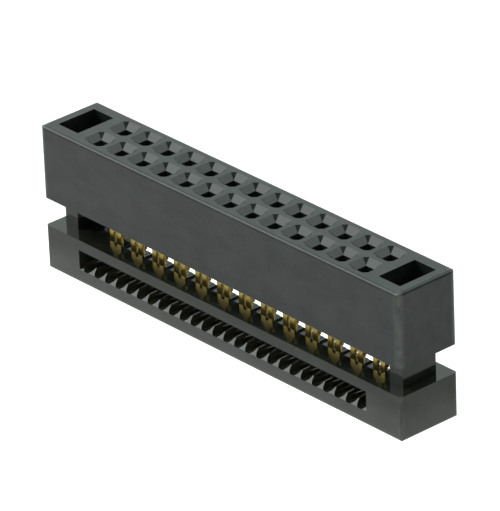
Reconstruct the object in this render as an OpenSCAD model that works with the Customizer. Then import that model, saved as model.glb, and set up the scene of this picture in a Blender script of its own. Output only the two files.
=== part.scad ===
// Ribbon-cable socket: a moulded socket body over a sliding cable cover, with stamped contacts between them.
// Millimetres, +Z up. The origin is the middle of the cover's underside, +X runs along the row of pins,
// the front face looks along -Y, and the mating face is on top. The cover is drawn open, ready for its cable.

/* [Pin grid] */
// Pins along each of the two rows
columns = 13; // [5:1:25]
// Distance from pin to pin along a row
pitch = 2.54; // [2.3:0.01:3]
// Distance between the two rows of pins
row_pitch = 2.54; // [2.3:0.01:3]
// Side of the square pins that the socket takes
pin_side = 0.64; // [0.5:0.01:0.7]

/* [Socket body] */
// Height of the contact cavities above the body's underside
cavity_h = 5.3; // [4.5:0.1:7]
// Thickness of the roof between the cavities and the mating face
roof_t = 1; // [0.7:0.05:1.6]
// Long wall beside the contact cavities
side_wall = 0.75; // [0.5:0.05:1.2]
// Wall at each end, outside the latch pocket
end_wall = 0.93; // [0.6:0.01:1.5]
// From the last pin to the near side of the latch pocket
pocket_offset = 2.06; // [1.7:0.02:3.5]
// Latch pocket along the row
pocket_l = 2.35; // [2:0.05:3]
// Latch pocket across the body
pocket_w = 3.7; // [2.5:0.1:4.5]
// Room round a pin in its hole, on each side
pin_room = 0.14; // [0.06:0.01:0.18]
// Mouth of the square lead-in above each pin hole
funnel_mouth = 2.1; // [1.5:0.05:2.2]
// Radius of the lead-in's corners across its mouth, as a share of half the mouth
mouth_round = 1.2; // [1.1:0.05:1.4]
// Depth of the lead-in
funnel_depth = 0.42; // [0.2:0.02:0.6]
// Rounding of the edges round the mating face
crown_r = 0.25; // [0.08:0.01:0.35]
// Rounding of the body's four upright corners
corner_r = 0.4; // [0.1:0.02:0.6]

/* [Cable cover] */
// Open gap between the cover and the body
open_gap = 2.45; // [1.8:0.05:3]
// Gap that is left when the cover is pressed home
closed_gap = 0.05; // [0.02:0.01:0.2]
// Step from the body's faces in to the cover's faces
cover_step = 0.06; // [0:0.01:0.2]
// Floor under the deepest point of the cable grooves
floor_t = 1.15; // [1:0.05:2]
// Height of the cable slot above its grooves' deepest point
slot_h = 1.75; // [1.4:0.05:2.2]
// Height of the two bars over the cable slot
bar_h = 0.9; // [0.7:0.05:1.6]
// Room between a fork and the bar in front of it
bar_room = 0.42; // [0.2:0.02:0.9]
// Least distance between two neighbouring cable grooves
ridge_flat = 0.07; // [0.04:0.01:0.3]
// Height of the ridges between the grooves
ridge_h = 0.48; // [0.3:0.02:0.52]
// Height of a ridge at the front and rear faces
ridge_foot = 0.06; // [0.03:0.01:0.2]
// Length over which a ridge slopes up from each face
ridge_slope = 0.57; // [0.2:0.01:0.9]
// Free length of the slot beyond the outermost groove
slot_end = 0.175; // [0.05:0.005:0.4]
// Rounding of the cover's upright and lower edges
cover_r = 0.2; // [0.08:0.02:0.35]
// Floor left under the recesses for the fork tips
recess_floor = 0.45; // [0.25:0.05:0.7]

/* [Latch arms] */
// Thickness of a latch arm
arm_t = 1.45; // [1:0.05:1.7]
// Room round a latch arm in the body
arm_room = 0.15; // [0.08:0.01:0.2]
// Height of the ledge that the barb hangs on
ledge_h = 1.25; // [0.8:0.05:2]
// Height of the barb
barb_h = 0.8; // [0.5:0.05:1.2]
// Room between barb and ledge in the open position
barb_room = 0.1; // [0.05:0.01:0.2]

/* [Contacts] */
// Thickness of the contact strip
metal_t = 0.25; // [0.15:0.01:0.3]
// Width of the contact's base plate
base_w = 1.3; // [1.2:0.02:1.5]
// From a pin's face to the base plate
plate_room = 0.14; // [0.1:0.01:0.18]
// From a pin's face to the root of the spring leaf
leaf_room = 0.28; // [0.2:0.02:0.4]
// Width of the spring leaf
leaf_w = 0.7; // [0.5:0.02:0.8]
// How far the relaxed leaf stands into the pin's place
leaf_preload = 0.25; // [0.22:0.01:0.28]
// From the cavity's roof down to the crest of the leaf
crest_drop = 1; // [0.7:0.05:1.6]
// How far the leaf's end turns away from the pin
leaf_flare = 0.3; // [0.24:0.02:0.4]
// Room above the base plate
top_room = 0.35; // [0.2:0.05:0.6]
// Height of the contact's foot above the body's underside
foot_h = 0.4; // [0.2:0.05:0.8]
// Height of the folded channel at the foot of the contact
channel_h = 1.5; // [1:0.1:2]
// Room round a contact in its cavity
cavity_room = 0.1; // [0.05:0.01:0.15]
// Room at the point of a retaining barb
tooth_room = 0.02; // [0.01:0.01:0.05]
// Width of the neck below the body
neck_w = 0.55; // [0.4:0.01:0.7]
// Width of the fork
fork_w = 1.36; // [1:0.02:1.5]
// Width of the slit that grips the wire
slit_w = 0.3; // [0.15:0.01:0.4]
// Mouth of the slit at the fork's points
slit_mouth = 0.8; // [0.5:0.05:0.95]
// How far the slit runs past the middle of the wire
slit_reach = 0.45; // [0.2:0.05:0.6]
// Room round a fork tip in its recess
tip_room = 0.1; // [0.05:0.01:0.15]
// Outside diameter of one insulated wire of the cable
wire_d = 0.9; // [0.7:0.05:1]

/* [Hidden] */
$fn = 48;
leaf_steps = 16;
cut = 0.5;
CONTACTS = 2 * columns;
function two_digits(n) = n < 10 ? str("0", n) : str(n);
function contact_name(n) = str("contact_", two_digits(n));

plastic = [0.20, 0.21, 0.21];
gold = [0.78, 0.66, 0.38];

// Heights
cover_h = floor_t + slot_h + bar_h;
body_z0 = cover_h + open_gap;
body_h = cavity_h + roof_t;
body_z1 = body_z0 + body_h;
travel = open_gap - closed_gap;
cavity_top = body_z0 + cavity_h;

// Contact cavity about one pin: +Y is towards the middle of the body
pin_half = pin_side / 2;
hole = pin_side + 2 * pin_room;
plate_y = pin_half + plate_room;
leaf_y = pin_half + leaf_room + metal_t;
cavity_in = plate_y + metal_t + cavity_room;
cavity_out = leaf_y + cavity_room;
cavity_w = base_w + 2 * cavity_room;
wire_pitch = pitch / 2;
fork_x = wire_pitch / 2;
mouth_reach = fork_x + neck_w / 2 + cavity_room;

// Overall lengths and widths
last_pin = (columns - 1) / 2 * pitch;
pocket_x0 = last_pin + pocket_offset;
pocket_x1 = pocket_x0 + pocket_l;
body_l = 2 * (pocket_x1 + end_wall);
body_w = row_pitch + 2 * (cavity_out + side_wall);
cover_l = body_l - 2 * cover_step;
cover_w = body_w - 2 * cover_step;

// Cable slot and the window over it
groove_r = (wire_pitch - ridge_flat) / 2;
groove_z = floor_t + groove_r;
ridge_z = floor_t + ridge_h;
slot_z1 = floor_t + slot_h;
slot_half = columns * wire_pitch - wire_pitch / 2 + groove_r + slot_end;
window_half = row_pitch / 2 - plate_y + bar_room;

// Latch arms
arm_x1 = pocket_x1 - arm_room;
arm_x0 = arm_x1 - arm_t;
arm_half = pocket_w / 2 - arm_room;
barb_x = pocket_x0 + arm_room;
ledge_z = body_z0 + ledge_h;
barb_z = ledge_z + barb_room;
arm_top = barb_z + barb_h;
arm_chamfer = arm_t / 4;

// Contact heights, measured with the cover open
tip_z = recess_floor + tip_room + travel;
wire_z = floor_t + wire_d / 2 + travel;
slit_top = wire_z + slit_reach;
fork_top = slit_top + slit_w;
foot_z = body_z0 + foot_h;
shoulder_z = foot_z + (base_w + neck_w) / 4;
channel_z = foot_z + channel_h;
plate_top = cavity_top - top_room;
crest_z = cavity_top - crest_drop;
leaf_mid_root = -leaf_y + metal_t / 2;
leaf_mid_crest = -pin_half + leaf_preload - metal_t / 2;
blank_corner = base_w / 6;

// Point of the leaf's middle line at height z: a half wave in to its crest, then a quarter wave out again
function leaf_mid(z) = z < crest_z
    ? leaf_mid_root
        + (leaf_mid_crest - leaf_mid_root) * (1 - cos(180 * (z - channel_z) / (crest_z - channel_z))) / 2
    : leaf_mid_crest - leaf_flare * (1 - cos(90 * (z - crest_z) / (plate_top - crest_z)));

function pin_x(i) = (i - (columns - 1) / 2) * pitch;

// Rectangle about the origin with round corners
module round_rectangle(l, w, r) {
    square([l - 2 * r, w], center = true);
    square([l, w - 2 * r], center = true);
    for (x = [-1, 1], y = [-1, 1])
        translate([x * (l / 2 - r), y * (w / 2 - r)]) circle(r);
}

// Upright rectangle on the line y = 0 with its two upper corners rounded
module crowned_rectangle(l, h, r) {
    translate([-l / 2, 0]) square([l, h - r]);
    translate([r - l / 2, 0]) square([l - 2 * r, h]);
    for (x = [-1, 1]) translate([x * (l / 2 - r), h - r]) circle(r);
}

// Moulded block on z = 0 with round upright corners and a rounded rim all round its top
module crowned_block(l, w, h, corner, crown) {
    intersection() {
        linear_extrude(h) round_rectangle(l, w, corner);
        rotate([90, 0, 0]) linear_extrude(w, center = true) crowned_rectangle(l, h, crown);
        rotate([90, 0, 90]) linear_extrude(l, center = true) crowned_rectangle(w, h, crown);
    }
}

// Box from its two opposite corners
module box(low, high) {
    translate(low) cube(high - low);
}

// Puts a child, drawn about one pin, at every pin of both rows; the rear row is turned to face the front row
module at_each_pin() {
    for (i = [0 : columns - 1], side = [0, 1]) at_pin(i, side) children();
}

module at_pin(i, side) {
    translate([pin_x(i), 0, 0]) rotate(180 * side) translate([0, -row_pitch / 2, 0]) children();
}

// Lead-in, wide and round-cornered at the mating face and as square as the pin hole at its bottom
module funnel() {
    reach = body_w / 2;
    grow = (funnel_mouth - hole) / 2 / funnel_depth * cut;
    low_r = hole / sqrt(2);
    high_r = mouth_round * funnel_mouth / 2;
    top_r = high_r + (high_r - low_r) / funnel_depth * cut;
    outline = [
        [-hole / 2, -funnel_depth], [hole / 2, -funnel_depth],
        [funnel_mouth / 2 + grow, cut], [-funnel_mouth / 2 - grow, cut]];
    translate([0, 0, body_z1]) intersection() {
        rotate([90, 0, 0]) linear_extrude(reach, center = true) polygon(outline);
        rotate([90, 0, 90]) linear_extrude(reach, center = true) polygon(outline);
        translate([0, 0, -funnel_depth]) cylinder(h = funnel_depth + cut, r1 = low_r, r2 = top_r);
    }
}

// Everything that is cut away round one pin: cavity, mouth for the neck, pin hole and lead-in
module pin_cavity() {
    box([-cavity_w / 2, -cavity_out, body_z0 - cut], [cavity_w / 2, cavity_in, cavity_top]);
    box([0, plate_y - cavity_room, body_z0 - cut], [mouth_reach, cavity_in, shoulder_z + base_w / 2]);
    box([-hole / 2, -hole / 2, cavity_top - cut], [hole / 2, hole / 2, body_z1]);
    funnel();
}

// Latch pocket: open to the mating face, with a narrower way for the arm below the ledge
module latch_pocket() {
    box([pocket_x0, -pocket_w / 2, ledge_z], [pocket_x1, pocket_w / 2, body_z1 + cut]);
    box([arm_x0 - arm_room, -pocket_w / 2, body_z0 - cut], [pocket_x1, pocket_w / 2, ledge_z + cut]);
}

module socket_body() color(plastic) difference() {
    translate([0, 0, body_z0]) crowned_block(body_l, body_w, body_h, corner_r, crown_r);
    at_each_pin() pin_cavity();
    for (end = [0, 1]) rotate(180 * end) latch_pocket();
}

// Cable slot seen from the front: a row of half-round grooves under a flat ceiling
module slot_outline() {
    translate([-slot_half, ridge_z]) square([2 * slot_half, slot_z1 - ridge_z]);
    for (j = [0 : CONTACTS - 1])
        translate([(j - (CONTACTS - 1) / 2) * wire_pitch, groove_z]) circle(groove_r);
}

// Wedges that slope the ridges' ends up from the front and rear faces
module ridge_ends() {
    outline = [
        [-cut, ridge_foot], [0, ridge_foot], [ridge_slope, ridge_h],
        [ridge_slope, slot_h / 2], [-cut, slot_h / 2]];
    for (end = [0, 1]) rotate(180 * end) translate([-slot_half, -cover_w / 2, floor_t])
        rotate([90, 0, 90]) linear_extrude(2 * slot_half) polygon(outline);
}

// Recess in the cover's floor that takes a fork's points when the cover is pressed home
module tip_recess() {
    box([fork_x - fork_w / 2 - tip_room, plate_y - tip_room, recess_floor],
        [fork_x + fork_w / 2 + tip_room, plate_y + metal_t + tip_room, slot_z1]);
}

// Latch arm with its barb turned in over the body's ledge
module latch_arm() {
    outline = [
        [arm_x0, cover_h - cut], [arm_x1, cover_h - cut], [arm_x1, arm_top - arm_chamfer],
        [arm_x1 - arm_chamfer, arm_top], [arm_x0, arm_top],
        [barb_x, barb_z + barb_h / 4], [barb_x, barb_z], [arm_x0, barb_z]];
    rotate([90, 0, 0]) linear_extrude(2 * arm_half, center = true) polygon(outline);
}

module cable_cover() color(plastic) {
    difference() {
        translate([0, 0, cover_h]) rotate([180, 0, 0])
            crowned_block(cover_l, cover_w, cover_h, cover_r, cover_r);
        rotate([90, 0, 0]) linear_extrude(cover_w + 2 * cut, center = true) slot_outline();
        ridge_ends();
        box([-slot_half, -window_half, slot_z1 - cut / 2], [slot_half, window_half, cover_h + cut]);
        at_each_pin() tip_recess();
    }
    for (end = [0, 1]) rotate(180 * end) latch_arm();
}

// Flat of the contact seen from the front: base plate, jog, neck and fork
module contact_blank() {
    tooth = cavity_w / 2 - tooth_room;
    tooth_z = (channel_z + plate_top) / 2;
    polygon([
        [-base_w / 2, shoulder_z], [fork_x - neck_w / 2, foot_z], [fork_x - neck_w / 2, fork_top],
        [fork_x + neck_w / 2, fork_top], [fork_x + neck_w / 2, shoulder_z - neck_w / 2],
        [base_w / 2, shoulder_z + blank_corner],
        [base_w / 2, tooth_z], [tooth, tooth_z], [base_w / 2, tooth_z + blank_corner],
        [base_w / 2, plate_top - blank_corner], [base_w / 2 - blank_corner, plate_top],
        [blank_corner - base_w / 2, plate_top], [-base_w / 2, plate_top - blank_corner],
        [-base_w / 2, tooth_z + blank_corner], [-tooth, tooth_z], [-base_w / 2, tooth_z]]);
    translate([fork_x, 0]) fork_outline();
}

// Two tines with a slit between them that cuts through the insulation and grips the wire
module fork_outline() {
    bevel = (fork_w - slit_mouth) / 4;
    slope = (fork_w - neck_w) / 2;
    entry = slit_mouth - slit_w;
    difference() {
        polygon([
            [-neck_w / 2, fork_top + slope], [-fork_w / 2, fork_top], [-fork_w / 2, tip_z + bevel],
            [bevel - fork_w / 2, tip_z], [fork_w / 2 - bevel, tip_z], [fork_w / 2, tip_z + bevel],
            [fork_w / 2, fork_top], [neck_w / 2, fork_top + slope]]);
        translate([0, slit_top - slit_w / 2]) circle(slit_w / 2);
        polygon([
            [-slit_w / 2, slit_top - slit_w / 2], [-slit_w / 2, tip_z + entry], [-slit_mouth / 2, tip_z],
            [-slit_mouth / 2, tip_z - cut], [slit_mouth / 2, tip_z - cut], [slit_mouth / 2, tip_z],
            [slit_w / 2, tip_z + entry], [slit_w / 2, slit_top - slit_w / 2]]);
    }
}

// Spring leaf seen from the end: a strip of even thickness along its middle line, rooted in the channel
module leaf_outline() {
    heights = [for (k = [0 : leaf_steps]) channel_z + (plate_top - channel_z) * k / leaf_steps];
    front = [for (z = heights) [leaf_mid(z) - metal_t / 2, z]];
    back = [for (k = [leaf_steps : -1 : 0]) [leaf_mid(heights[k]) + metal_t / 2, heights[k]]];
    root = [for (y = [metal_t - leaf_y, -leaf_y]) [y, channel_z - metal_t]];
    polygon(concat(front, back, root));
}

// Folded channel at the contact's foot: a side wall from the base plate round to the leaf's root
module contact_channel() {
    foot = shoulder_z + blank_corner;
    box([-base_w / 2, -leaf_y, foot], [metal_t - base_w / 2, plate_y + metal_t, channel_z]);
    box([-base_w / 2, -leaf_y, foot], [leaf_w / 2, metal_t - leaf_y, channel_z]);
}

module contact() color(gold) {
    translate([0, plate_y + metal_t, 0]) rotate([90, 0, 0]) linear_extrude(metal_t) contact_blank();
    contact_channel();
    translate([-leaf_w / 2, 0, 0]) rotate([90, 0, 90]) linear_extrude(leaf_w) leaf_outline();
}

// Contacts are numbered by the wire that each one cuts into, from the left: odd ones are in the rear row
module placed_contact(n) {
    at_pin(floor((n - 1) / 2), n % 2) contact();
}

socket_body();
cable_cover();
for (n = [1 : CONTACTS])
    placed_contact(n);
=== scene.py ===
"""Looks of the ribbon-cable socket: moulded grey plastic and gold-plated contacts in a white studio."""

import math

import bpy
import numpy as np
from mathutils import Matrix, Vector


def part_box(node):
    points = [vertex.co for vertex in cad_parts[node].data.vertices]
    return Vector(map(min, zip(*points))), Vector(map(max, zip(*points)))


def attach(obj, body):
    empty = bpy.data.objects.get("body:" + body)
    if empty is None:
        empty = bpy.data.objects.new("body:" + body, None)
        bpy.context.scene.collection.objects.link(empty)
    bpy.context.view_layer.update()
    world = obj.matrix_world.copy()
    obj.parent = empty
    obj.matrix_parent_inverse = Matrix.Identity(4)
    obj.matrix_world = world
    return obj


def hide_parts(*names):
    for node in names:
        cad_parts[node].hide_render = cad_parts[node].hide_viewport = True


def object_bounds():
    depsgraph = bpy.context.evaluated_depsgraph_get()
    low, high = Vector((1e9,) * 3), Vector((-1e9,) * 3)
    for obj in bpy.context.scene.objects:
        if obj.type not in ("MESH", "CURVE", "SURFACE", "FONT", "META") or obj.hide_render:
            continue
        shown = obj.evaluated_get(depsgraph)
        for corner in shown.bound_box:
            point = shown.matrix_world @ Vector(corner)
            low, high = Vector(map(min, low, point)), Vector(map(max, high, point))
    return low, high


MM = 0.001

# Camera, from the photograph: angles in degrees, lengths in millimetres, focal length and image in pixels
IMAGE_LONG_SIDE = 511
FOCAL_PIXELS = 6587.5
SENSOR = 36.0
AZIMUTH = 49.25
ELEVATION = 27.33
ROLL = -2.35
DISTANCE = 506.3
LOOK_AT = (0.568, 0.0, 7.551)
CLIP_START = 10.0
CLIP_END = 20000.0

# Studio, sizes in metres: the floor lies a hair below the object, so that the two faces don't meet
FLOOR_SIDE = 6.0
FLOOR_DROP = 0.00002
SURROUND_STRENGTH = 0.08

# Soft boxes: heading and height in degrees, distance and side in metres, radiance, colour
SOFTBOXES = {
    "overhead_softbox": (0, 89.9, 1.5, 2.2, 0.35, "#ffffff"),
    "rear_softbox": (229, 30, 1.3, 1.6, 1.4, "#f3fff9"),
    "right_softbox": (155, 50, 1.3, 0.8, 3.4, "#f3fff9"),
    "key_softbox": (-65, 42, 1.3, 0.75, 6.4, "#f8fffb"),
    "front_softbox": (-49, 24, 1.3, 0.7, 2.4, "#ffffff"),
    "fill_softbox": (47, 30, 1.3, 1.2, 0.5, "#ffffff"),
}

# Noise detail of broad and of fine patterns, and the range that most values of a noise lie in, alone and
# where two noises are multiplied
BROAD_DETAIL = 3.0
FINE_DETAIL = 2.0
NOISE_RANGE = (0.3, 0.7)
PRODUCT_RANGE = (0.15, 0.35)


def linear(code):
    """sRGB hex colour to linear RGBA: divided by 12.92 near black, else a power of 2.4."""
    share = np.array([int(code[i:i + 2], 16) for i in (1, 3, 5)]) / 255
    rgb = np.where(share <= 0.04045, share / 12.92, ((share + 0.055) / 1.055) ** 2.4)
    return (*rgb.tolist(), 1.0)


def per_metre(size_mm):
    """Pattern scale that gives one feature for each size_mm of the surface."""
    return 1 / (size_mm * MM)


def add_node(tree, kind, settings=None, links=None):
    """Adds one node: settings fill its properties or sockets, links feed its sockets.

    A Mix node's sockets go by number, because their names repeat: 0 is the factor, 2 and 3 are the numbers
    to be mixed, 6 and 7 are the colours, and output 0 is the mixed number and output 2 the mixed colour.
    """
    node = tree.nodes.new(kind)
    for name, value in (settings or {}).items():
        if isinstance(name, str) and hasattr(node, name):
            setattr(node, name, value)
        else:
            node.inputs[name].default_value = value
    for name, output in (links or {}).items():
        tree.links.new(output, node.inputs[name])
    return node


def new_material(name):
    """Empty node material: returns it, its tree and its Principled shader."""
    material = bpy.data.materials.new(name)
    material.use_nodes = True
    tree = material.node_tree
    return material, tree, tree.nodes["Principled BSDF"]


# Glass-filled PBT, moulded against spark-eroded steel: a dark grey with a faint green cast, cloudy where
# the melt flowed along the rows, with paler edges that are partly rubbed by handling and partly a painted
# highlight where the rounded edges catch the light, and a fine grain that breaks up its gloss. The grain is
# drawn coarser than the real one, so that it shows. The cover is the glossier piece
PBT_IOR = 1.5
CLOUD_MM = 2.4
FLOW_MM = 0.9
FLOW_STRETCH = 0.3
GRAIN_MM = 0.14
GRAIN_DEPTH_MM = 0.01
GRAIN_STRENGTH = 0.12
# Patches along the edges where the paler edge colour, rub wear with a painted highlight, is weaker
RUB_AND_HIGHLIGHT_PATCH_MM = 0.7
LEAST_RUB_AND_HIGHLIGHT = 0.35
# The edge colour and its width in each finish are rub wear together with a painted highlight of the rounded
# edges
HOUSING_FINISH = {
    "dark": "#191e1c", "light": "#232826", "rub_and_highlight_colour": "#5a5f5a",
    "rub_and_highlight_mm": 0.7, "gloss": (0.22, 0.28), "shine": 0.235}
COVER_FINISH = {
    "dark": "#191d18", "light": "#22261f", "rub_and_highlight_colour": "#40453b",
    "rub_and_highlight_mm": 0.4, "gloss": (0.07, 0.11), "shine": 0.29}


def moulded_pbt(name, low, high, dark, light, rub_and_highlight_colour, rub_and_highlight_mm, gloss, shine):
    """Plastic of a block from low to high, in metres: gloss is its range of roughness.

    A point's depth under the block's nearest faces is half the block's size less its distance from the
    middle, along each axis. The second smallest of the three depths is the distance to the nearest edge,
    and the paler edge colour, partly rubbed wear and partly a painted highlight of the rounded edges, fades
    in over the last stretch of it, as wide as the finish gives.
    """
    material, tree, shader = new_material(name)
    place = add_node(tree, "ShaderNodeTexCoord").outputs["Object"]
    middle = (high + low) / 2
    half = (high - low) / 2
    from_middle = add_node(
        tree, "ShaderNodeVectorMath", {"operation": "SUBTRACT", 1: middle}, {0: place}).outputs[0]
    beside = add_node(tree, "ShaderNodeVectorMath", {"operation": "ABSOLUTE"}, {0: from_middle}).outputs[0]
    under = add_node(
        tree, "ShaderNodeVectorMath", {"operation": "SUBTRACT", 0: half}, {1: beside}).outputs[0]
    x, y, z = add_node(tree, "ShaderNodeSeparateXYZ", links={0: under}).outputs
    less = add_node(tree, "ShaderNodeMath", {"operation": "MINIMUM"}, {0: x, 1: y}).outputs[0]
    more = add_node(tree, "ShaderNodeMath", {"operation": "MAXIMUM"}, {0: x, 1: y}).outputs[0]
    inner = add_node(tree, "ShaderNodeMath", {"operation": "MINIMUM"}, {0: more, 1: z}).outputs[0]
    to_edge = add_node(tree, "ShaderNodeMath", {"operation": "MAXIMUM"}, {0: less, 1: inner}).outputs[0]
    # Mask of the paler edge colour: partly rubbed wear, partly a painted highlight where the rounded edges
    # catch light
    near_edge = add_node(
        tree, "ShaderNodeMapRange",
        {"interpolation_type": "SMOOTHSTEP", "From Max": rub_and_highlight_mm * MM, "To Min": 1.0, "To Max": 0.0},
        {"Value": to_edge}).outputs["Result"]
    patches = add_node(
        tree, "ShaderNodeTexNoise", {"Scale": per_metre(RUB_AND_HIGHLIGHT_PATCH_MM), "Detail": BROAD_DETAIL},
        {"Vector": place}).outputs["Fac"]
    kept = add_node(
        tree, "ShaderNodeMapRange",
        {"From Min": NOISE_RANGE[0], "From Max": NOISE_RANGE[1], "To Min": LEAST_RUB_AND_HIGHLIGHT},
        {"Value": patches}).outputs["Result"]
    rub_and_highlight_mask = add_node(tree, "ShaderNodeMath", {"operation": "MULTIPLY"}, {0: near_edge, 1: kept}).outputs[0]
    clouds = add_node(
        tree, "ShaderNodeTexNoise", {"Scale": per_metre(CLOUD_MM), "Detail": BROAD_DETAIL},
        {"Vector": place}).outputs["Fac"]
    along = add_node(tree, "ShaderNodeMapping", {"Scale": (FLOW_STRETCH, 1.0, 1.0)}, {"Vector": place})
    flow = add_node(
        tree, "ShaderNodeTexNoise", {"Scale": per_metre(FLOW_MM), "Detail": FINE_DETAIL},
        {"Vector": along.outputs["Vector"]}).outputs["Fac"]
    grain = add_node(
        tree, "ShaderNodeTexNoise", {"Scale": per_metre(GRAIN_MM), "Detail": FINE_DETAIL},
        {"Vector": place}).outputs["Fac"]
    streaks = add_node(tree, "ShaderNodeMath", {"operation": "MULTIPLY"}, {0: clouds, 1: flow}).outputs[0]
    mottle = add_node(
        tree, "ShaderNodeMapRange", {"From Min": PRODUCT_RANGE[0], "From Max": PRODUCT_RANGE[1]},
        {"Value": streaks}).outputs["Result"]
    body = add_node(
        tree, "ShaderNodeMix", {"data_type": "RGBA", 6: linear(dark), 7: linear(light)},
        {0: mottle}).outputs[2]
    # The paler edge colour is mixed in here: rub wear together with a painted edge highlight
    colour = add_node(
        tree, "ShaderNodeMix", {"data_type": "RGBA", 7: linear(rub_and_highlight_colour)}, {0: rub_and_highlight_mask, 6: body}).outputs[2]
    rough = add_node(
        tree, "ShaderNodeMapRange",
        {"From Min": NOISE_RANGE[0], "From Max": NOISE_RANGE[1], "To Min": gloss[0], "To Max": gloss[1]},
        {"Value": clouds}).outputs["Result"]
    bump = add_node(
        tree, "ShaderNodeBump", {"Strength": GRAIN_STRENGTH, "Distance": GRAIN_DEPTH_MM * MM},
        {"Height": grain}).outputs["Normal"]
    tree.links.new(colour, shader.inputs["Base Color"])
    tree.links.new(rough, shader.inputs["Roughness"])
    tree.links.new(bump, shader.inputs["Normal"])
    shader.inputs["IOR"].default_value = PBT_IOR
    shader.inputs["Specular IOR Level"].default_value = shine
    return material


# Phosphor bronze strip, stamped and plated with hard gold: a pale yellow metal, satin along the rolling of
# the strip, with sheared edges that are rougher and a little darker. The rolling lines are drawn coarser
# than real ones, so that they show
PLATING_MM = 0.6
ROLLING_MM = 0.05
ROLLING_STRETCH = 0.08
ROLLING_DEPTH_MM = 0.004
ROLLING_STRENGTH = 0.15
GOLD_DEEP = "#e2c664"
GOLD_PALE = "#fce892"
GOLD_SHEARED = "#dac068"
SATIN_ROUGHNESS = (0.27, 0.42)
SHEARED_ROUGHNESS = 0.45


def gold_plated_bronze(name):
    """Plated metal whose finish goes from sheared to rolled by the size of the normal's y part.

    That size is 1, or near it, on the faces of blank and leaf, and 0 on their sheared edges.
    """
    material, tree, shader = new_material(name)
    place = add_node(tree, "ShaderNodeTexCoord").outputs["Object"]
    normal = add_node(tree, "ShaderNodeNewGeometry").outputs["Normal"]
    facing = add_node(tree, "ShaderNodeSeparateXYZ", links={0: normal}).outputs["Y"]
    rolled = add_node(tree, "ShaderNodeMath", {"operation": "ABSOLUTE"}, {0: facing}).outputs[0]
    plating = add_node(
        tree, "ShaderNodeTexNoise", {"Scale": per_metre(PLATING_MM), "Detail": BROAD_DETAIL},
        {"Vector": place}).outputs["Fac"]
    along = add_node(tree, "ShaderNodeMapping", {"Scale": (1.0, 1.0, ROLLING_STRETCH)}, {"Vector": place})
    rolling = add_node(
        tree, "ShaderNodeTexNoise", {"Scale": per_metre(ROLLING_MM), "Detail": FINE_DETAIL},
        {"Vector": along.outputs["Vector"]}).outputs["Fac"]
    face = add_node(
        tree, "ShaderNodeMix", {"data_type": "RGBA", 6: linear(GOLD_DEEP), 7: linear(GOLD_PALE)},
        {0: plating}).outputs[2]
    colour = add_node(
        tree, "ShaderNodeMix", {"data_type": "RGBA", 6: linear(GOLD_SHEARED)},
        {0: rolled, 7: face}).outputs[2]
    satin = add_node(
        tree, "ShaderNodeMapRange", {"To Min": SATIN_ROUGHNESS[0], "To Max": SATIN_ROUGHNESS[1]},
        {"Value": rolling}).outputs["Result"]
    rough = add_node(tree, "ShaderNodeMix", {2: SHEARED_ROUGHNESS}, {0: rolled, 3: satin}).outputs[0]
    bump = add_node(
        tree, "ShaderNodeBump", {"Strength": ROLLING_STRENGTH, "Distance": ROLLING_DEPTH_MM * MM},
        {"Height": rolling}).outputs["Normal"]
    tree.links.new(colour, shader.inputs["Base Color"])
    tree.links.new(rough, shader.inputs["Roughness"])
    tree.links.new(bump, shader.inputs["Normal"])
    shader.inputs["Metallic"].default_value = 1.0
    return material


# Opal acrylic sheet, matt and lit from below: a plain white, brightest round the foot of the object
ACRYLIC_WHITE = "#d2d2d0"
ACRYLIC_ROUGHNESS = 0.9
GLOW_MM = 5.0
GLOW_AT_FOOT = 1.35
GLOW_BEYOND = 0.56


def light_table(name, half_length, half_width):
    """Floor whose glow falls off over GLOW_MM from the object's foot, a box of these half sizes in metres.

    A point's distance from the foot is the length of what its place, without signs, goes past them.
    """
    material, tree, shader = new_material(name)
    place = add_node(tree, "ShaderNodeTexCoord").outputs["Object"]
    beside = add_node(tree, "ShaderNodeVectorMath", {"operation": "ABSOLUTE"}, {0: place}).outputs[0]
    past = add_node(
        tree, "ShaderNodeVectorMath", {"operation": "SUBTRACT", 1: (half_length, half_width, 0.0)},
        {0: beside}).outputs[0]
    outside = add_node(
        tree, "ShaderNodeVectorMath", {"operation": "MAXIMUM", 1: (0.0, 0.0, 0.0)}, {0: past}).outputs[0]
    away = add_node(tree, "ShaderNodeVectorMath", {"operation": "LENGTH"}, {0: outside}).outputs["Value"]
    glow = add_node(
        tree, "ShaderNodeMapRange",
        {"interpolation_type": "SMOOTHSTEP", "From Max": GLOW_MM * MM,
         "To Min": GLOW_AT_FOOT, "To Max": GLOW_BEYOND},
        {"Value": away}).outputs["Result"]
    shader.inputs["Base Color"].default_value = linear(ACRYLIC_WHITE)
    shader.inputs["Roughness"].default_value = ACRYLIC_ROUGHNESS
    shader.inputs["Emission Color"].default_value = linear("#ffffff")
    tree.links.new(glow, shader.inputs["Emission Strength"])
    return material


# Stamped contact in millimetres, with the sizes of its solid, about its pin: x runs along the row, y towards
# the middle of the body and z up from the floor. The middle of its blank lies at PLATE_Y, and its channel
# folds round to LEAF_Y, where its leaf stands
PITCH = 2.54
PIN_HALF = 0.32
METAL = 0.25
EDGE_R = 0.045
PLATE_ROOM = 0.14
LEAF_ROOM = 0.28
PLATE_Y = PIN_HALF + PLATE_ROOM + METAL / 2
LEAF_Y = -(PIN_HALF + LEAF_ROOM + METAL / 2)

# Base plate with its two retaining teeth, and the notch where the channel folds away
BASE_HALF = 0.65
NECK_HALF = 0.275
TOOTH = 0.73
CORNER = BASE_HALF / 3
FOOT_Z = 6.65
SHOULDER_Z = FOOT_Z + (BASE_HALF + NECK_HALF) / 2
CHANNEL_RISE = 1.5
CHANNEL_Z = FOOT_Z + CHANNEL_RISE
PLATE_TOP = 11.2
TOOTH_Z = (CHANNEL_Z + PLATE_TOP) / 2
BEND_R = 0.225
BEND_X = METAL / 2 + BEND_R - BASE_HALF
RELIEF = 0.1

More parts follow.
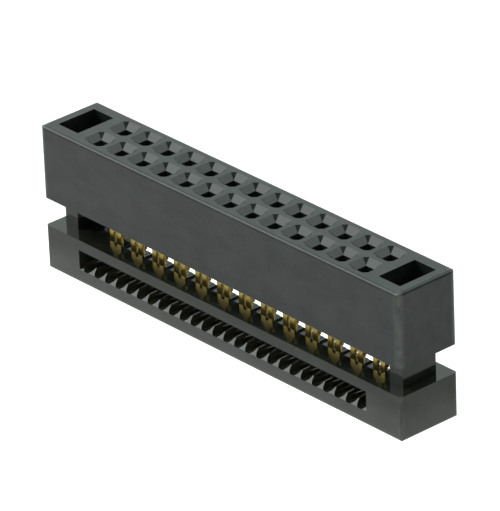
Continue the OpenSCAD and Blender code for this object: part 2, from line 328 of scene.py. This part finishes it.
# Fork with its slit, a quarter of the pitch beside the pin
FORK_X = PITCH / 4
FORK_HALF = 0.68
TIP_Z = 2.95
SLIT_HALF = 0.15
SLIT_MOUTH_HALF = 0.4
SLIT_ENTRY = 2 * (SLIT_MOUTH_HALF - SLIT_HALF)
SLIT_TOP = 4.45
FORK_TOP = SLIT_TOP + 2 * SLIT_HALF
TIP_BEVEL = (FORK_HALF - SLIT_MOUTH_HALF) / 2

# Spring leaf, whose crest stands LEAF_PRELOAD into the pin's place
LEAF_HALF = 0.35
LEAF_PRELOAD = 0.25
CREST_Y = LEAF_PRELOAD - PIN_HALF - METAL / 2
CREST_Z = 10.55
LEAF_FLARE = 0.3
LEAF_END_DROP = 0.08

# Points on an edge's quarter circle, on an arc and along the leaf
EDGE_STEPS = 5
ARC_STEPS = 9
LEAF_STEPS = 48


def arc(middle, radius, start, end, steps=ARC_STEPS):
    """Points of a circle about middle, from one angle to another in degrees."""
    angle = np.radians(np.linspace(start, end, steps))
    return np.asarray(middle) + radius * np.stack([np.cos(angle), np.sin(angle)], axis=1)


def blank_outline():
    """Closed outline (x, z) of the flat blank, anticlockwise.

    It goes up and down the slit, up the right of fork and neck, round the base plate with its teeth and the
    notch on the left where the channel folds away, and down the left of neck and fork.
    """
    slope = FORK_HALF - NECK_HALF
    slit = np.concatenate([
        [[-SLIT_MOUTH_HALF, TIP_Z], [-SLIT_HALF, TIP_Z + SLIT_ENTRY]],
        arc((0, SLIT_TOP - SLIT_HALF), SLIT_HALF, 180, 0),
        [[SLIT_HALF, TIP_Z + SLIT_ENTRY], [SLIT_MOUTH_HALF, TIP_Z]]])
    right_tine = [
        [FORK_HALF - TIP_BEVEL, TIP_Z], [FORK_HALF, TIP_Z + TIP_BEVEL], [FORK_HALF, FORK_TOP],
        [NECK_HALF, FORK_TOP + slope], [NECK_HALF, SHOULDER_Z - NECK_HALF]]
    left_tine = [
        [-NECK_HALF, FOOT_Z], [-NECK_HALF, FORK_TOP + slope], [-FORK_HALF, FORK_TOP],
        [-FORK_HALF, TIP_Z + TIP_BEVEL], [TIP_BEVEL - FORK_HALF, TIP_Z]]
    plate = [
        [BASE_HALF, SHOULDER_Z + CORNER], [BASE_HALF, TOOTH_Z], [TOOTH, TOOTH_Z],
        [BASE_HALF, TOOTH_Z + CORNER], [BASE_HALF, PLATE_TOP - CORNER], [BASE_HALF - CORNER, PLATE_TOP],
        [CORNER - BASE_HALF, PLATE_TOP], [-BASE_HALF, PLATE_TOP - CORNER], [-BASE_HALF, TOOTH_Z + CORNER],
        [-TOOTH, TOOTH_Z], [-BASE_HALF, TOOTH_Z], [-BASE_HALF, CHANNEL_Z + RELIEF],
        [BEND_X, CHANNEL_Z + RELIEF], [BEND_X, SHOULDER_Z + CORNER - RELIEF],
        [-BASE_HALF, SHOULDER_Z + CORNER - RELIEF], [-BASE_HALF, SHOULDER_Z]]
    beside_pin = np.array([FORK_X, 0])
    return np.concatenate([slit + beside_pin, right_tine + beside_pin, plate, left_tine + beside_pin])


def blank():
    """Blank as rings from its back face to its front, each the outline drawn in along its mitred corners.

    The edge section is a quarter circle of EDGE_R at each face, so a ring at angle a is drawn in by
    EDGE_R (1 - sin a) and lies EDGE_R (1 - cos a) below the face.
    """
    outline = blank_outline()
    ahead = np.roll(outline, -1, axis=0) - outline
    ahead /= np.linalg.norm(ahead, axis=1, keepdims=True)
    inward = np.stack([-ahead[:, 1], ahead[:, 0]], axis=1)
    before = np.roll(inward, 1, axis=0)
    mitre = (inward + before) / (1 + np.sum(inward * before, axis=1, keepdims=True))
    angle = np.linspace(0, np.pi / 2, EDGE_STEPS)
    drawn_in = EDGE_R * (1 - np.sin(angle))
    below = EDGE_R * (1 - np.cos(angle))
    drawn_in = np.concatenate([drawn_in, drawn_in[::-1]])
    below = np.concatenate([below, METAL - below[::-1]])
    flat = outline + drawn_in[:, None, None] * mitre
    depth = np.broadcast_to(PLATE_Y + METAL / 2 - below[:, None], flat.shape[:2])
    return np.stack([flat[..., 0], depth, flat[..., 1]], axis=-1)


def strip(path, across, half_width):
    """Strip as rings along a path, each a rectangle with corners of EDGE_R.

    A ring lies in the plane of across and of the normal, which is the path's direction turned about across.
    """
    section = np.concatenate([
        arc((i * (half_width - EDGE_R), j * (METAL / 2 - EDGE_R)), EDGE_R, start, start + 90, EDGE_STEPS)
        for i, j, start in ((1, 1, 0), (-1, 1, 90), (-1, -1, 180), (1, -1, 270))])
    ahead = np.gradient(path, axis=0)
    ahead /= np.linalg.norm(ahead, axis=1, keepdims=True)
    normal = np.cross(ahead, across)
    return path[:, None] + section[None, :, :1] * np.asarray(across) + section[None, :, 1:] * normal[:, None]


def channel():
    """Folded strip: from the blank's left side round two bends of BEND_R to the foot of the leaf."""
    bends = np.concatenate([
        [[BEND_X + EDGE_R, PLATE_Y]],
        arc((BEND_X, PLATE_Y - BEND_R), BEND_R, 90, 180),
        arc((BEND_X, LEAF_Y + BEND_R), BEND_R, 180, 270),
        [[LEAF_HALF, LEAF_Y]]])
    foot = SHOULDER_Z + CORNER
    path = np.column_stack([bends, np.full(len(bends), (foot + CHANNEL_Z) / 2)])
    return strip(path, (0.0, 0.0, 1.0), (CHANNEL_Z - foot) / 2)


def leaf():
    """Spring leaf: its middle line is a half wave in to the crest and then a quarter wave out again.

    It ends LEAF_END_DROP below the plate's top, where the quarter wave would end.
    """
    z = np.linspace(CHANNEL_Z - EDGE_R, PLATE_TOP - LEAF_END_DROP, LEAF_STEPS)
    rise = np.clip((z - CHANNEL_Z) / (CREST_Z - CHANNEL_Z), 0, 1)
    past = np.clip((z - CREST_Z) / (PLATE_TOP - CREST_Z), 0, 1)
    inward = (CREST_Y - LEAF_Y) * (1 - np.cos(np.pi * rise)) / 2
    outward = LEAF_FLARE * (1 - np.cos(np.pi / 2 * past))
    path = np.column_stack([np.zeros_like(z), LEAF_Y + inward - outward, z])
    return strip(path, (1.0, 0.0, 0.0), LEAF_HALF)


def shell_faces(grid, first):
    """Quads between neighbouring rings of a grid, each ring closed, and the two end rings as faces."""
    index = first + np.arange(grid.shape[0] * grid.shape[1]).reshape(grid.shape[:2])
    beside = np.roll(index, -1, axis=1)
    quads = np.stack([index[:-1], beside[:-1], beside[1:], index[1:]], axis=-1).reshape(-1, 4)
    return quads.tolist(), [index[0, ::-1].tolist(), index[-1].tolist()]


def contact_shells():
    """Closed shells of blank, channel and leaf about the pin: points, faces, and which faces are smooth."""
    points, faces, smooth = [], [], []
    first = 0
    for grid in (blank(), channel(), leaf()):
        quads, ends = shell_faces(grid, first)
        points.append(grid.reshape(-1, 3))
        faces += quads + ends
        smooth += [True] * len(quads) + [False] * len(ends)
        first += len(points[-1])
    return np.concatenate(points), faces, smooth


def stamped_contact(node, shells, material):
    """Contact in place of its solid, whose box gives the place of the pin.

    Along the row the pin lies TOOTH in from the side where a tooth reaches furthest, and across the row it
    lies PLATE_Y and half the metal out from the blank's back face. The rear row is turned half round.
    """
    points, faces, smooth = shells
    box_low, box_high = (np.array(corner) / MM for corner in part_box(node))
    front = box_low[1] < -box_high[1]
    turn = 1 if front else -1
    near, far = (box_low, box_high) if front else (box_high, box_low)
    pin = np.array([near[0] + turn * TOOTH, far[1] - turn * (PLATE_Y + METAL / 2), 0])
    placed = (points * (turn, turn, 1) + pin) * MM
    mesh = bpy.data.meshes.new("stamped_" + node)
    mesh.from_pydata(placed.tolist(), [], faces)
    mesh.polygons.foreach_set("use_smooth", smooth)
    mesh.materials.append(material)
    piece = bpy.data.objects.new("stamped_" + node, mesh)
    bpy.context.collection.objects.link(piece)
    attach(piece, "socket")
    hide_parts(node)


def dress(solid, material):
    """Gives a carried-over solid its finish."""
    slots = solid.data.materials
    slots.clear()
    slots.append(material)


def towards(heading, height):
    """Unit vector from the object to a place round it, by azimuth and elevation in degrees.

    Azimuth 0 is in front, on the -Y side, and azimuth 90 is on the +X side.
    """
    az, el = math.radians(heading), math.radians(height)
    return Vector((math.sin(az) * math.cos(el), -math.cos(az) * math.cos(el), math.sin(el)))


def photo_camera():
    """Camera at the photograph's place: back points from the object to the camera, then a small roll."""
    back = towards(AZIMUTH, ELEVATION)
    right = Vector((0, 0, 1)).cross(back).normalized()
    up = back.cross(right)
    roll = math.radians(ROLL)
    turned_right = math.cos(roll) * right + math.sin(roll) * up
    turned_up = math.cos(roll) * up - math.sin(roll) * right
    data = bpy.data.cameras.new("photo_camera")
    data.sensor_width = SENSOR
    data.lens = FOCAL_PIXELS / IMAGE_LONG_SIDE * SENSOR
    data.clip_start = CLIP_START * MM
    data.clip_end = CLIP_END * MM
    camera = bpy.data.objects.new("photo_camera", data)
    place = (Vector(LOOK_AT) + back * DISTANCE) * MM
    axes = Matrix((turned_right, turned_up, back)).transposed().to_4x4()
    camera.matrix_world = Matrix.Translation(place) @ axes
    bpy.context.collection.objects.link(camera)
    bpy.context.scene.camera = camera


def softbox(name, heading, height, distance, side, radiance, colour):
    """Square area light turned to the object: its power is its radiance times pi times its area."""
    back = towards(heading, height)
    data = bpy.data.lights.new(name, "AREA")
    data.size = side
    data.energy = radiance * math.pi * side ** 2
    data.color = linear(colour)[:3]
    light = bpy.data.objects.new(name, data)
    turned = back.to_track_quat("Z", "Y").to_matrix().to_4x4()
    light.matrix_world = Matrix.Translation(back * distance) @ turned
    bpy.context.collection.objects.link(light)


def white_studio(half_length, half_width):
    """Pale floor under an object of these half sizes in metres, a dim even surround and soft boxes."""
    half = FLOOR_SIDE / 2
    mesh = bpy.data.meshes.new("studio_floor")
    corners = [(x, y, -FLOOR_DROP) for x, y in ((-half, -half), (half, -half), (half, half), (-half, half))]
    mesh.from_pydata(corners, [], [(0, 1, 2, 3)])
    floor = bpy.data.objects.new("studio_floor", mesh)
    bpy.context.collection.objects.link(floor)
    mesh.materials.append(light_table("opal_acrylic", half_length, half_width))
    world = bpy.data.worlds.new("dim_surround")
    world.use_nodes = True
    background = world.node_tree.nodes["Background"]
    background.inputs["Color"].default_value = linear("#ffffff")
    background.inputs["Strength"].default_value = SURROUND_STRENGTH
    bpy.context.scene.world = world
    for name, settings in SOFTBOXES.items():
        softbox(name, *settings)
    bpy.context.scene.view_settings.view_transform = "Standard"


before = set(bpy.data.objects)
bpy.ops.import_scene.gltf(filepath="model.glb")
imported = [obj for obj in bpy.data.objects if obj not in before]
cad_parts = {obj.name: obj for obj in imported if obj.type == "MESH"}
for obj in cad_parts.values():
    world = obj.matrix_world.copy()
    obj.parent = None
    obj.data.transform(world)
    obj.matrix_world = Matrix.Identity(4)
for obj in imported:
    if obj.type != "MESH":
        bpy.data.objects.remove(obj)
cad_low, cad_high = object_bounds()

# Only the body's upright edges get the paler edge colour, partly rub wear and partly a painted highlight,
# so its block is taken taller by the width of that colour
body_low, body_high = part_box("socket_body")
rub_and_highlight_rise = Vector((0, 0, HOUSING_FINISH["rub_and_highlight_mm"] * MM))
housing_plastic = moulded_pbt(
    "moulded_pbt_housing", body_low - rub_and_highlight_rise, body_high + rub_and_highlight_rise, **HOUSING_FINISH)
dress(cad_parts["socket_body"], housing_plastic)

cover_low, cover_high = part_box("cable_cover")
cover_plastic = moulded_pbt("moulded_pbt_cover", cover_low, cover_high, **COVER_FINISH)
dress(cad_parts["cable_cover"], cover_plastic)

contact_metal = gold_plated_bronze("gold_plated_phosphor_bronze")
shells = contact_shells()
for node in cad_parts:
    if node.startswith("contact"):
        stamped_contact(node, shells, contact_metal)

white_studio(cad_high[0], cad_high[1])
photo_camera()
